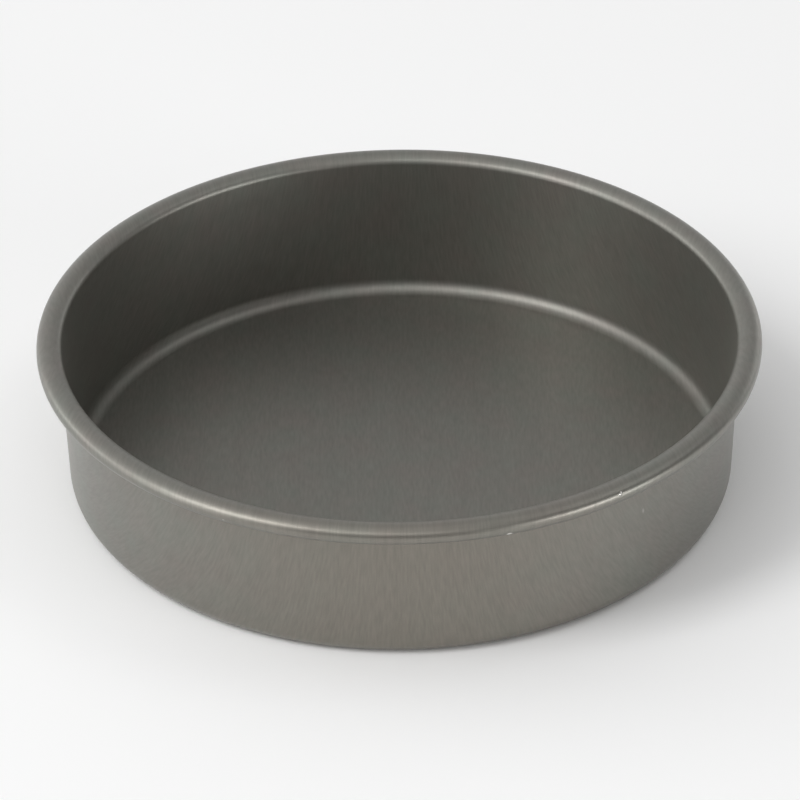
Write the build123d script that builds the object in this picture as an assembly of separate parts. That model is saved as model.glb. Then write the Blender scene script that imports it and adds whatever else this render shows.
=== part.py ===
from build123d import *
import os
from math import asin, atan2, cos, degrees, radians, sin

# A round cake tin, drawn from one aluminium sheet, with a flat base, a slightly flared wall and
# a rim that is rolled outwards round a stiffening wire. Lengths are in millimetres.
# The origin is the centre of the base's underside, and +Z is the tin's axis, towards its mouth.

# Driving dimensions of the drawn sheet
sheet_thickness = 1.0
overall_height = 50.0
mouth_diameter = 206.0
wall_draft_degrees = 2.0
corner_inner_radius = 4.5

# Driving dimensions of the rim: the wire, the room that the rolled sheet leaves round it, and
# the gaps at the sheet's cut edge and between the wire's two ends
wire_diameter = 3.6
wire_clearance = 0.15
wire_side_room = 1.1
wire_butt_gap = 0.6
curl_edge_gap = 0.5
roll_side_radius_share = 0.85

# Rim roll: an oval of four tangent arcs over the wire, tight at its two sides and shallow above
# and below
wire_radius = wire_diameter / 2
half_width = wire_radius + wire_side_room + sheet_thickness
half_height = wire_radius + wire_clearance + sheet_thickness
side_radius = roll_side_radius_share * half_height
side_offset = half_width - side_radius
crown_radius = (side_offset**2 + half_height**2 - side_radius**2) / (2 * (half_height - side_radius))
crown_offset = crown_radius - half_height
join_angle = degrees(atan2(crown_offset, side_offset))

# Rim roll: its centre, set so that its inner side is the mouth's edge
rim_centre_x = mouth_diameter / 2 + half_width
rim_centre_z = overall_height - half_height

# Wall: its inner face leaves the roll's inner side at the draft angle and runs down to the corner
draft = radians(wall_draft_degrees)
roll_inner_x = rim_centre_x - side_offset
corner_centre_z = sheet_thickness + corner_inner_radius
corner_centre_x = roll_inner_x - (
    side_radius + corner_inner_radius + (rim_centre_z - corner_centre_z) * sin(draft)
) / cos(draft)

# Curl edge: the cut edge stops short of the wall's outer face by its gap
wall_outer_x = mouth_diameter / 2 + sheet_thickness
edge_reach = rim_centre_x - wall_outer_x - curl_edge_gap
edge_angle = degrees(asin(edge_reach / crown_radius))


def sheet_face(depth):
    """The section of one face of the sheet, from the axis to the cut edge of the curl.

    A depth of zero is the face that the cake touches, which becomes the outside of the roll.
    A depth of the sheet's thickness is its other face, which becomes the inside of the roll.
    """
    corner = CenterArc(
        center=(corner_centre_x, corner_centre_z),
        radius=corner_inner_radius + depth,
        start_angle=-90,
        arc_size=90 - wall_draft_degrees,
    )
    inner_side = CenterArc(
        center=(roll_inner_x, rim_centre_z),
        radius=side_radius - depth,
        start_angle=180 - wall_draft_degrees,
        arc_size=wall_draft_degrees - join_angle,
    )
    crown = CenterArc(
        center=(rim_centre_x, rim_centre_z - crown_offset),
        radius=crown_radius - depth,
        start_angle=180 - join_angle,
        arc_size=2 * join_angle - 180,
    )
    outer_side = CenterArc(
        center=(rim_centre_x + side_offset, rim_centre_z),
        radius=side_radius - depth,
        start_angle=join_angle,
        arc_size=-2 * join_angle,
    )
    under_side = CenterArc(
        center=(rim_centre_x, rim_centre_z + crown_offset),
        radius=crown_radius - depth,
        start_angle=-join_angle,
        arc_size=join_angle - 90 - edge_angle,
    )
    base = Line((0, sheet_thickness - depth), corner @ 0)
    wall = Line(corner @ 1, inner_side @ 0)
    return [base, corner, wall, inner_side, crown, outer_side, under_side]


def tin_body():
    """The drawn sheet: base, corner, wall and rolled rim in one piece."""
    cake_face = sheet_face(0)
    other_face = sheet_face(sheet_thickness)
    cut_edge = Line(cake_face[-1] @ 1, other_face[-1] @ 1)
    axis_edge = Line(other_face[0] @ 0, cake_face[0] @ 0)
    section = make_face(cake_face + [cut_edge] + other_face + [axis_edge])
    return revolve(Plane.XZ * section, Axis.Z)


def rim_wire():
    """The round wire hoop inside the roll, with the narrow gap where its two ends meet."""
    gap_degrees = degrees(wire_butt_gap / rim_centre_x)
    section = Pos(rim_centre_x, rim_centre_z) * Circle(wire_radius)
    hoop = revolve(Plane.XZ * section, Axis.Z, 360 - gap_degrees)
    return Rot(0, 0, 90) * hoop


os.makedirs("parts", exist_ok=True)
export_step(tin_body(), "parts/tin_body.step")
export_step(rim_wire(), "parts/rim_wire.step")
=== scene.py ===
from math import atan2, cos, hypot, pi, radians, sin, sqrt, tau

import bmesh
import bpy
from mathutils import Matrix, Vector, noise


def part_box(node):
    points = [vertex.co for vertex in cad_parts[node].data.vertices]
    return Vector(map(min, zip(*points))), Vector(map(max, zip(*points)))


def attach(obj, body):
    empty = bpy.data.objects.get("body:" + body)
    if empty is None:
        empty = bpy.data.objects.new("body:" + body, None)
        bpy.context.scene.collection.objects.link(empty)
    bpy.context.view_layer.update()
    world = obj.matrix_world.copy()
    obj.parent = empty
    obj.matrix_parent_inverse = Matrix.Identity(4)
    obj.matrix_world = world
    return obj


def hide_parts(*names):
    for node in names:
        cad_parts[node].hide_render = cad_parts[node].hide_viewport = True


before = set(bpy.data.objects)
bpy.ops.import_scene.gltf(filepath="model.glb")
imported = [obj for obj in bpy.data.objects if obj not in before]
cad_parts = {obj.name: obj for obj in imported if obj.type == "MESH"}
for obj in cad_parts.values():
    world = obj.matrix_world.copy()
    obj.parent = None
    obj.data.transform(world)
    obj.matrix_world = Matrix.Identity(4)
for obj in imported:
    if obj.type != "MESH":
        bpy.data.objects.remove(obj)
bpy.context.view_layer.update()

# Sizes, in metres
MM = 0.001

# Drawn sheet
SHEET = 1.0 * MM
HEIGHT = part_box("tin_body")[1].z
RIM_RADIUS = -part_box("tin_body")[0].x
WALL_DRAFT = radians(2.0)
CORNER_INNER_RADIUS = 4.5 * MM

# Wire, the rim rolled round it, and the sheet's cut edge
WIRE_RADIUS = 1.8 * MM
WIRE_CLEARANCE = 0.15 * MM
WIRE_SIDE_ROOM = 1.1 * MM
CURL_EDGE_GAP = 0.5 * MM
ROLL_SIDE_RADIUS_SHARE = 0.85
CUT_EDGE_ROUNDING = 0.2 * MM

# Rim roll: an oval of four tangent arcs, tight at its two sides and shallow above and below
HALF_WIDTH = WIRE_RADIUS + WIRE_SIDE_ROOM + SHEET
HALF_HEIGHT = WIRE_RADIUS + WIRE_CLEARANCE + SHEET
SIDE_RADIUS = ROLL_SIDE_RADIUS_SHARE * HALF_HEIGHT
SIDE_OFFSET = HALF_WIDTH - SIDE_RADIUS
CROWN_RADIUS = (SIDE_OFFSET**2 + HALF_HEIGHT**2 - SIDE_RADIUS**2) / (2 * (HALF_HEIGHT - SIDE_RADIUS))
CROWN_OFFSET = CROWN_RADIUS - HALF_HEIGHT
JOIN = atan2(CROWN_OFFSET, SIDE_OFFSET)
ROLL_X = RIM_RADIUS - HALF_WIDTH
ROLL_Z = HEIGHT - HALF_HEIGHT
EDGE_ANGLE = (HALF_WIDTH - SHEET - CURL_EDGE_GAP) / CROWN_RADIUS

# Corner between the base and the wall
CORNER_Z = SHEET + CORNER_INNER_RADIUS
CORNER_X = ROLL_X - SIDE_OFFSET - (
    SIDE_RADIUS + CORNER_INNER_RADIUS + (ROLL_Z - CORNER_Z) * sin(WALL_DRAFT)
) / cos(WALL_DRAFT)

# Mesh fineness: steps round the tin, rings across the base and up the wall, the longest step
# along the section's arcs, steps round the cut edge, and how near two points are to be one
RING_STEPS = 360
BASE_RINGS = 8
WALL_RINGS = 6
ARC_STEP = radians(7.0)
CUT_EDGE_STEPS = 3
MERGE_DISTANCE = 0.001 * MM

# Marks of use: cuts in each edge round a mark, how far round it they go at least, and how squarely
# a face has to look the mark's way, as a cosine
STRIKE_CUTS = 5
STRIKE_MARGIN = 0.8 * MM
STRIKE_FACING = 0.2

# Marks of use, as shares of a mark's larger size: how far from its middle it can reach
REACH_SHARE = 1.5

# Marks of use, as shares of a mark's half size or depth: how ragged its outline is, where its lip
# is, the lip's half width and height, and how far from the middle the film has come off
RAGGED_SHARE = 0.25
LIP_PLACE_SHARE = 1.2
LIP_WIDTH_SHARE = 0.4
LIP_HEIGHT_SHARE = 0.3
BARE_SHARE = 1.1

# Marks of use: waves of the ragged outline in a mark's width, and how steeply its dent and the edge
# of its bare metal begin
RAGGED_WAVES = 3
DENT_STEEPNESS = 2
BARE_STEEPNESS = 3

# Browner colour at the front: how much of it reaches the rim, and how fast it fades round the tin
BROWNED_RIM_SHARE = 0.5
BROWNED_FADING = 5

# Noise mostly stays between these two values, so each pattern's range is stretched from them
NOISE_LOW = 0.3
NOISE_HIGH = 0.7
NOISE_ENDS = {"From Min": NOISE_LOW, "From Max": NOISE_HIGH}

# How much less rough the burnished side of the rim is
BURNISHING = 0.07


def srgb(hex_colour):
    """The opaque linear colour of an sRGB hex value such as "8a8a8a"."""
    channels = [int(hex_colour[i:i + 2], 16) / 255 for i in (0, 2, 4)]
    linear = [c / 12.92 if c <= 0.04045 else ((c + 0.055) / 1.055) ** 2.4 for c in channels]
    return (*linear, 1.0)


def add_node(tree, kind, settings=None, links=None):
    """Adds a node. A setting is a property, or an input's value by its name or number; a link is an
    output for an input's name or number."""
    made = tree.nodes.new(kind)
    for name, value in (settings or {}).items():
        if isinstance(name, int) or name in made.inputs:
            made.inputs[name].default_value = value
        else:
            setattr(made, name, value)
    for name, output in (links or {}).items():
        tree.links.new(output, made.inputs[name])
    return made


def new_material(name):
    """An empty node material and its tree."""
    material = bpy.data.materials.new(name)
    material.use_nodes = True
    material.node_tree.nodes.clear()
    return material, material.node_tree


def hard_anodised_aluminium():
    """Hard anodised aluminium: its film turns the bare metal into a dark, warm grey satin.

    The film is clear enough that the sheet's rolling streaks show, and its own surface adds a
    narrower, neutral shine over the metal's broad one. The rim's outer side is a little shinier,
    because the curling rollers burnished it, and the colour is a little browner at the tin's front.
    """
    material, tree = new_material("hard_anodised_aluminium")
    blank = add_node(tree, "ShaderNodeAttribute", {"attribute_name": "blank"}).outputs["Vector"]
    bare = add_node(tree, "ShaderNodeAttribute", {"attribute_name": "bare_metal"}).outputs["Fac"]
    burnish = add_node(tree, "ShaderNodeAttribute", {"attribute_name": "burnish"}).outputs["Fac"]
    browned = add_node(tree, "ShaderNodeAttribute", {"attribute_name": "browned"}).outputs["Fac"]
    place = add_node(tree, "ShaderNodeTexCoord").outputs["Object"]

    def pattern(source, width, length, detail):
        """Noise whose marks have this width and length, in metres on the sheet."""
        scaled = add_node(tree, "ShaderNodeMapping", {"Scale": (1 / width, 1 / length, 1 / width)},
                          {"Vector": source})
        return add_node(tree, "ShaderNodeTexNoise", {"Scale": 1.0, "Detail": detail, "Roughness": 0.55},
                        {"Vector": scaled.outputs["Vector"]}).outputs["Fac"]

    # The sheet's rolling streaks and wider bands, the film's matt grain, its faint clouds of tint
    # and the drawn sheet's slight waves. The real streaks and grain are too fine to show at this
    # distance, so both are drawn coarser.
    streaks = pattern(blank, 0.8 * MM, 5.0 * MM, 1.0)
    bands = pattern(blank, 4.0 * MM, 60.0 * MM, 2.0)
    grain = pattern(place, 0.25 * MM, 0.25 * MM, 1.0)
    clouds = pattern(place, 14.0 * MM, 14.0 * MM, 2.0)
    waves = pattern(place, 11.0 * MM, 11.0 * MM, 1.0)

    tint = add_node(tree, "ShaderNodeValToRGB", links={"Fac": clouds})
    tint.color_ramp.elements[0].position = NOISE_LOW
    tint.color_ramp.elements[0].color = srgb("80817a")
    tint.color_ramp.elements[1].position = NOISE_HIGH
    tint.color_ramp.elements[1].color = srgb("837f79")
    rolled = add_node(tree, "ShaderNodeMapRange", {**NOISE_ENDS, "To Min": 0.93, "To Max": 1.07},
                      {"Value": streaks})
    banded = add_node(tree, "ShaderNodeMapRange", {**NOISE_ENDS, "To Min": 0.97, "To Max": 1.03},
                      {"Value": bands})
    shade = add_node(tree, "ShaderNodeMath", {"operation": "MULTIPLY"},
                     {0: rolled.outputs["Result"], 1: banded.outputs["Result"]})
    warm = add_node(tree, "ShaderNodeMix", {"data_type": "RGBA", 7: srgb("868076")},
                    {0: browned, 6: tint.outputs["Color"]})
    film = add_node(tree, "ShaderNodeVectorMath", {"operation": "SCALE"},
                    {0: warm.outputs[2], "Scale": shade.outputs["Value"]})
    colour = add_node(tree, "ShaderNodeMix", {"data_type": "RGBA", 7: srgb("f0eeea")},
                      {0: bare, 6: film.outputs["Vector"]})
    matt = add_node(tree, "ShaderNodeMapRange", {**NOISE_ENDS, "To Min": 0.46, "To Max": 0.54},
                    {"Value": grain})
    satin = add_node(tree, "ShaderNodeMath", {"operation": "MULTIPLY_ADD", 1: -BURNISHING},
                     {0: burnish, 2: matt.outputs["Result"]})
    streak_bump = add_node(tree, "ShaderNodeBump", {"Strength": 1.0, "Distance": 0.006 * MM},
                           {"Height": streaks})
    grain_bump = add_node(tree, "ShaderNodeBump", {"Strength": 1.0, "Distance": 0.004 * MM},
                          {"Height": grain, "Normal": streak_bump.outputs["Normal"]})
    wave_bump = add_node(tree, "ShaderNodeBump", {"Strength": 1.0, "Distance": 0.08 * MM},
                         {"Height": waves, "Normal": grain_bump.outputs["Normal"]})
    shader = add_node(tree, "ShaderNodeBsdfPrincipled", {
        "Metallic": 1.0,
        "Coat Weight": 0.6,
        "Coat Roughness": 0.4,
    }, {
        "Base Color": colour.outputs[2],
        "Roughness": satin.outputs["Value"],
        "Normal": wave_bump.outputs["Normal"],
    })
    add_node(tree, "ShaderNodeOutputMaterial", links={"Surface": shader.outputs["BSDF"]})
    return material


def drawn_aluminium_wire():
    """Drawn aluminium wire: pale bare metal, softly shiny, with fine lines from the die."""
    material, tree = new_material("drawn_aluminium_wire")
    place = add_node(tree, "ShaderNodeTexCoord").outputs["Object"]
    # The die's lines are finer than this, too fine to show
    scaled = add_node(tree, "ShaderNodeMapping", {"Scale": (1 / (4 * MM), 1 / (4 * MM), 1 / (0.15 * MM))},
                      {"Vector": place})
    lines = add_node(tree, "ShaderNodeTexNoise", {"Scale": 1.0, "Detail": 2.0},
                     {"Vector": scaled.outputs["Vector"]})
    tint = add_node(tree, "ShaderNodeValToRGB", links={"Fac": lines.outputs["Fac"]})
    tint.color_ramp.elements[0].position = NOISE_LOW
    tint.color_ramp.elements[0].color = srgb("b4b4b2")
    tint.color_ramp.elements[1].position = NOISE_HIGH
    tint.color_ramp.elements[1].color = srgb("d2d2d0")
    matt = add_node(tree, "ShaderNodeMapRange", {**NOISE_ENDS, "To Min": 0.32, "To Max": 0.45},
                    {"Value": lines.outputs["Fac"]})
    bump = add_node(tree, "ShaderNodeBump", {"Strength": 1.0, "Distance": 0.004 * MM},
                    {"Height": lines.outputs["Fac"]})
    shader = add_node(tree, "ShaderNodeBsdfPrincipled", {"Metallic": 1.0}, {
        "Base Color": tint.outputs["Color"],
        "Roughness": matt.outputs["Result"],
        "Normal": bump.outputs["Normal"],
    })
    add_node(tree, "ShaderNodeOutputMaterial", links={"Surface": shader.outputs["BSDF"]})
    return material


def white_paper():
    """Matt paper: pale, plain and without shine."""
    material, tree = new_material("white_paper")
    shader = add_node(tree, "ShaderNodeBsdfPrincipled", {
        "Base Color": srgb("f8f8f8"),
        "Roughness": 1.0,
        "Specular IOR Level": 0.0,
    })
    add_node(tree, "ShaderNodeOutputMaterial", links={"Surface": shader.outputs["BSDF"]})
    return material


def line(start, end, steps):
    """Points of a straight run in the section, as (distance from the axis, height)."""
    shares = [i / steps for i in range(steps + 1)]
    return [(start[0] + (end[0] - start[0]) * s, start[1] + (end[1] - start[1]) * s) for s in shares]


def arc(centre, radius, start, end):
    """Points of an arc in the section, as (distance from the axis, height)."""
    steps = max(2, round(abs(end - start) / ARC_STEP))
    angles = [start + (end - start) * i / steps for i in range(steps + 1)]
    return [(centre[0] + radius * cos(a), centre[1] + radius * sin(a)) for a in angles]


def sheet_face(depth):
    """Section points of one face of the sheet, from the axis to the curl's cut edge.

    A depth of zero is the face that the cake touches, which becomes the outside of the roll.
    """
    corner = arc((CORNER_X, CORNER_Z), CORNER_INNER_RADIUS + depth, -pi / 2, -WALL_DRAFT)
    inner_side = arc((ROLL_X - SIDE_OFFSET, ROLL_Z), SIDE_RADIUS - depth, pi - WALL_DRAFT, pi - JOIN)
    crown = arc((ROLL_X, ROLL_Z - CROWN_OFFSET), CROWN_RADIUS - depth, pi - JOIN, JOIN)
    outer_side = arc((ROLL_X + SIDE_OFFSET, ROLL_Z), SIDE_RADIUS - depth, JOIN, -JOIN)
    under_side = arc((ROLL_X, ROLL_Z + CROWN_OFFSET), CROWN_RADIUS - depth, -JOIN, -pi / 2 - EDGE_ANGLE)
    base = line((0.0, SHEET - depth), corner[0], BASE_RINGS)
    wall = line(corner[-1], inner_side[0], WALL_RINGS)
    runs = [base, corner, wall, inner_side, crown, outer_side, under_side]
    return base[:1] + [point for run in runs for point in run[1:]]


def blank_radii():
    """Each section point's distance from the middle of the flat blank that the tin was drawn from.

    Drawing keeps the sheet's area, so a ring of the tin is as large as its ring of the blank.
    """
    middle = sheet_face(SHEET / 2)
    square = 0.0
    radii = [0.0]
    for (x0, z0), (x1, z1) in zip(middle, middle[1:]):
        square += (x0 + x1) * hypot(x1 - x0, z1 - z0)
        radii.append(sqrt(square))
    return radii


def tin_shell():
    """The drawn tin: its section is spun round the axis, closed at the curl's cut edge."""
    bm = bmesh.new()
    blank_radius = bm.verts.layers.float.new("blank_radius")
    outer_face = bm.verts.layers.float.new("outer_face")
    outline = sheet_face(0.0) + sheet_face(SHEET)[::-1]
    radii = blank_radii() + blank_radii()[::-1]
    corners = [bm.verts.new((x, 0.0, z)) for x, z in outline]
    for i, (corner, radius) in enumerate(zip(corners, radii)):
        corner[blank_radius] = radius
        corner[outer_face] = float(i >= len(corners) // 2)
    for pair in zip(corners, corners[1:]):
        bm.edges.new(pair)
    cut_corners = corners[len(corners) // 2 - 1:len(corners) // 2 + 1]
    bmesh.ops.bevel(bm, geom=cut_corners, offset=CUT_EDGE_ROUNDING, segments=CUT_EDGE_STEPS,
                    profile=0.5, affect="VERTICES", material=-1)
    bmesh.ops.spin(bm, geom=list(bm.verts) + list(bm.edges), cent=(0, 0, 0), axis=(0, 0, 1), angle=tau,
                   steps=RING_STEPS, use_merge=True)
    bmesh.ops.remove_doubles(bm, verts=bm.verts, dist=MERGE_DISTANCE)
    bmesh.ops.recalc_face_normals(bm, faces=bm.faces)
    lay_out_blank(bm, blank_radius, outer_face)
    for mark in MARKS:
        strike(bm, *mark)
    return finished_piece(bm, "tin_shell")


def lay_out_blank(bm, blank_radius, outer_face):
    """Stores where each point of the tin lay on the flat blank, whose rolling direction is along Y.

    It also stores how much the curling rollers burnished it, which is on the rim's outer side, and
    how much browner its colour is, which is most at the front of the outer wall.
    """
    blank = bm.verts.layers.float_vector.new("blank")
    burnish = bm.verts.layers.float.new("burnish")
    browned = bm.verts.layers.float.new("browned")
    bm.verts.layers.float.new("bare_metal")
    for vertex in bm.verts:
        across = Vector((vertex.co.x, vertex.co.y, 0.0))
        vertex[blank] = across.normalized() * vertex[blank_radius]
        vertex[burnish] = min(1.0, max(0.0, (across.length - ROLL_X) / SIDE_OFFSET))
        on_wall = min(1.0, max(0.0, (ROLL_Z - vertex.co.z) / HALF_HEIGHT))
        covered = on_wall * vertex[outer_face] + BROWNED_RIM_SHARE * (1.0 - on_wall)
        vertex[browned] = covered * max(0.0, -vertex.co.y / RIM_RADIUS)**BROWNED_FADING


def rim_place(ring, section):
    """The point of the roll's outer side at these angles, with its outward and its downward direction."""
    x = ROLL_X + SIDE_OFFSET + SIDE_RADIUS * cos(section)
    outward = Vector((cos(section) * cos(ring), cos(section) * sin(ring), sin(section)))
    downward = Vector((sin(section) * cos(ring), sin(section) * sin(ring), -cos(section)))
    return Vector((x * cos(ring), x * sin(ring), ROLL_Z + SIDE_RADIUS * sin(section))), outward, downward


def wall_place(ring, height):
    """The point of the wall's outer face at this height, with its outward and its downward direction."""
    x = CORNER_X + (CORNER_INNER_RADIUS + SHEET) / cos(WALL_DRAFT) + (height - CORNER_Z) * sin(WALL_DRAFT)
    outward = Vector((cos(ring), sin(ring), -sin(WALL_DRAFT))).normalized()
    return Vector((x * cos(ring), x * sin(ring), height)), outward, Vector((0, 0, -1))


def base_place(ring, reach):
    """The point of the base's inside at this distance from the axis, with its two directions."""
    outwards = Vector((cos(ring), sin(ring), 0))
    return Vector((reach * cos(ring), reach * sin(ring), SHEET)), Vector((0, 0, 1)), outwards


def strike(bm, place, length, width, depth, bareness):
    """Strikes a small nick into the sheet: a dent with a raised lip, where the film has come off."""
    centre, outward, downward = place
    along = outward.cross(downward)
    reach = REACH_SHARE * max(length, width)
    around = [vertex for vertex in bm.verts if (vertex.co - centre).length < reach + STRIKE_MARGIN]
    edges = dict.fromkeys(edge for vertex in around for face in vertex.link_faces
                          if face.normal.dot(outward) > STRIKE_FACING for edge in face.edges)
    bmesh.ops.subdivide_edges(bm, edges=list(edges), cuts=STRIKE_CUTS, use_grid_fill=True)
    bare_metal = bm.verts.layers.float["bare_metal"]
    for vertex in bm.verts:
        offset = vertex.co - centre
        if offset.length > reach or vertex.normal.dot(outward) < STRIKE_FACING:
            continue
        rough = RAGGED_SHARE * noise.noise(vertex.co * RAGGED_WAVES / width)
        share = hypot(offset.dot(along) / (length / 2), offset.dot(downward) / (width / 2)) + rough
        inside = max(0.0, 1.0 - share)
        lip = max(0.0, 1.0 - abs(share - LIP_PLACE_SHARE) / LIP_WIDTH_SHARE)
        vertex.co += outward * depth * (LIP_HEIGHT_SHARE * lip - min(1.0, DENT_STEEPNESS * inside))
        bared = bareness * min(1.0, BARE_STEEPNESS * max(0.0, BARE_SHARE - share))
        vertex[bare_metal] = max(vertex[bare_metal], bared)


def finished_piece(bm, name):
    """Turns a bmesh into a smooth-shaded object at the origin."""
    mesh = bpy.data.meshes.new(name)
    for face in bm.faces:
        face.smooth = True
    bm.to_mesh(mesh)
    bm.free()
    piece = bpy.data.objects.new(name, mesh)
    bpy.context.scene.collection.objects.link(piece)
    return piece


# Marks of use: the place, the length along the rim, the width across it, the depth, and how bare
# the metal is there
MARKS = [
    (rim_place(radians(286.3), radians(-34)), 1.7 * MM, 1.1 * MM, 0.12 * MM, 1.0),
    (rim_place(radians(305.1), radians(29)), 1.1 * MM, 0.5 * MM, 0.12 * MM, 1.0),
    (rim_place(radians(305.4), radians(37)), 0.4 * MM, 0.9 * MM, 0.10 * MM, 1.0),
    (rim_place(radians(242.25), radians(-16)), 0.9 * MM, 0.5 * MM, 0.06 * MM, 0.3),
    (wall_place(radians(254.25), 13.7 * MM), 0.7 * MM, 0.5 * MM, 0.05 * MM, 0.3),
    (wall_place(radians(277.75), 17.7 * MM), 0.7 * MM, 0.5 * MM, 0.05 * MM, 0.3),
    (wall_place(radians(313.5), 31.9 * MM), 0.7 * MM, 0.6 * MM, 0.05 * MM, 0.3),
    (base_place(radians(-85), 11.0 * MM), 0.6 * MM, 0.9 * MM, 0.04 * MM, 0.3),
]

# Tin
shell = tin_shell()
shell.data.materials.append(hard_anodised_aluminium())
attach(shell, "root")
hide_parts("tin_body")
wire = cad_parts["rim_wire"]
wire.data.materials.clear()
wire.data.materials.append(drawn_aluminium_wire())

# Floor
FLOOR_SIZE = 12.0
bm = bmesh.new()
bmesh.ops.create_grid(bm, x_segments=1, y_segments=1, size=FLOOR_SIZE / 2)
floor = finished_piece(bm, "floor")
floor.data.materials.append(white_paper())

# Camera: a long lens at the photo's viewing angle. The lens is given as its focal length in widths of
# the picture, and the tilt and the roll, in radians, set the tin where it is in the photo.
CAMERA_DISTANCE = 1.502
CAMERA_ELEVATION = radians(32.88)
CAMERA_TILT = 0.0009
CAMERA_ROLL = -0.0131
LENS_SHARE = 4874 / 800
SENSOR = 36.0
camera_data = bpy.data.cameras.new("camera")
camera_data.sensor_width = SENSOR
camera_data.lens = LENS_SHARE * SENSOR
camera = bpy.data.objects.new("camera", camera_data)
bpy.context.scene.collection.objects.link(camera)
aim = Vector((0.0, 0.0, HEIGHT / 2))
offset = Vector((0.0, -cos(CAMERA_ELEVATION), sin(CAMERA_ELEVATION))) * CAMERA_DISTANCE
pitch = Matrix.Rotation(pi / 2 - CAMERA_ELEVATION - CAMERA_TILT, 4, "X")
roll = Matrix.Rotation(CAMERA_ROLL, 4, "Z")
camera.matrix_world = Matrix.Translation(aim + offset) @ pitch @ roll
bpy.context.scene.camera = camera


def softbox(name, azimuth, elevation, width, height, radiance):
    """A soft rectangular lamp that faces the tin. Azimuth 0 is the tin's right, 90 is behind it."""
    towards = Vector((cos(elevation) * cos(azimuth), cos(elevation) * sin(azimuth), sin(elevation)))
    data = bpy.data.lights.new(name, "AREA")
    data.shape = "RECTANGLE"
    data.size = width
    data.size_y = height
    data.energy = pi * width * height * radiance
    lamp = bpy.data.objects.new(name, data)
    lamp.location = towards * LAMP_DISTANCE
    lamp.rotation_euler = towards.to_track_quat("Z", "Y").to_euler()
    bpy.context.scene.collection.objects.link(lamp)


def pale_room(dim, bright, azimuth):
    """The surroundings: they brighten smoothly from the dim side to this azimuth."""
    world = bpy.data.worlds.new("pale_room")
    world.use_nodes = True
    tree = world.node_tree
    tree.nodes.clear()
    direction = add_node(tree, "ShaderNodeTexCoord").outputs["Generated"]
    along = add_node(tree, "ShaderNodeVectorMath",
                     {"operation": "DOT_PRODUCT", 1: (cos(azimuth), sin(azimuth), 0.0)}, {0: direction})
    level = add_node(tree, "ShaderNodeMapRange",
                     {"interpolation_type": "SMOOTHSTEP", "From Min": -1.0, "To Min": dim, "To Max": bright},
                     {"Value": along.outputs["Value"]})
    background = add_node(tree, "ShaderNodeBackground", {"Color": srgb("ffffff")},
                          {"Strength": level.outputs["Result"]})
    add_node(tree, "ShaderNodeOutputWorld", links={"Surface": background.outputs["Background"]})
    return world


# Light: a tall softbox on the left and a low one on the right, which make the rim's two highlights,
# weaker ones all round that fill the walls and the base, and a pale room that is dimmer on the
# camera's side. Each lamp's name, azimuth and elevation in degrees, width and height in metres,
# and radiance
LAMP_DISTANCE = 3.0
LAMPS = [
    ("key", 207, 45, 1.0, 2.0, 5.4),
    ("key_low", 202, 9, 1.6, 0.7, 2.3),
    ("left_back", 158, 20, 1.7, 1.3, 1.6),
    ("front_top", 262, 56, 2.2, 1.5, 1.15),
    ("front_right", 290, 28, 1.6, 0.5, 0.5),
    ("top", 90, 84, 1.7, 1.7, 0.3),
    ("right_back", 44, 13, 1.8, 0.8, 1.2),
    ("right_low", 328, 9, 1.6, 0.7, 8.4),
    ("right_top", 8, 56, 1.3, 1.0, 1.3),
]
for name, azimuth, elevation, width, height, radiance in LAMPS:
    softbox(name, radians(azimuth), radians(elevation), width, height, radiance)
ROOM_DIM = 0.14
ROOM_BRIGHT = 0.78
ROOM_BRIGHT_AZIMUTH = radians(150)
bpy.context.scene.world = pale_room(ROOM_DIM, ROOM_BRIGHT, ROOM_BRIGHT_AZIMUTH)

bpy.context.scene.view_settings.view_transform = "Standard"
